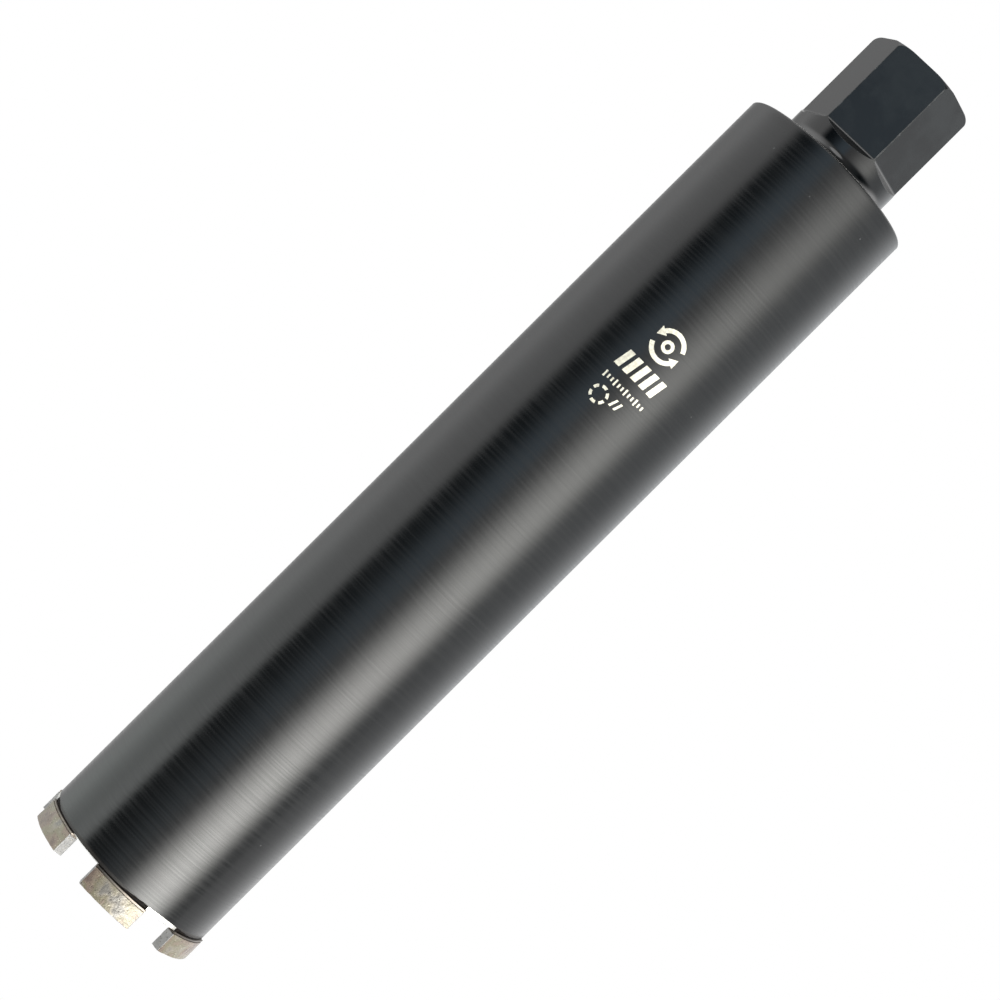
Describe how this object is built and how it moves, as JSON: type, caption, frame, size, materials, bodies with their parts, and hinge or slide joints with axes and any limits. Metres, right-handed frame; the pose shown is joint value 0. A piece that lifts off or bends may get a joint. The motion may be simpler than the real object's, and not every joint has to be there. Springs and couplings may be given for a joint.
{
  "type": "diamond core bit",
  "caption": "Wet drilling bit: black tubular barrel with welded diamond segments round its front edge, closed at the back by a threaded hexagon hub.",
  "frame": {"origin": "centre of the crown's cutting plane, where the bit stands on its segments", "axes": "+Z along the bit's axis, from the crown towards the hub; one flat of the hexagon faces -Y"},
  "size_m": [0.0762, 0.0762, 0.4145],
  "materials": {
    "barrel_coating": "satin black coating with fine turning lines",
    "hub_black": "satin black, slightly speckled",
    "diamond_sinter": "rough sintered metal, tan to grey"
  },
  "bodies": {
    "root": {"barrel_tube": "barrel_coating", "hub": "hub_black", "segment_1": "diamond_sinter", "segment_2": "diamond_sinter", "segment_3": "diamond_sinter", "segment_4": "diamond_sinter", "segment_5": "diamond_sinter", "segment_6": "diamond_sinter"}
  },
  "joints": []
}
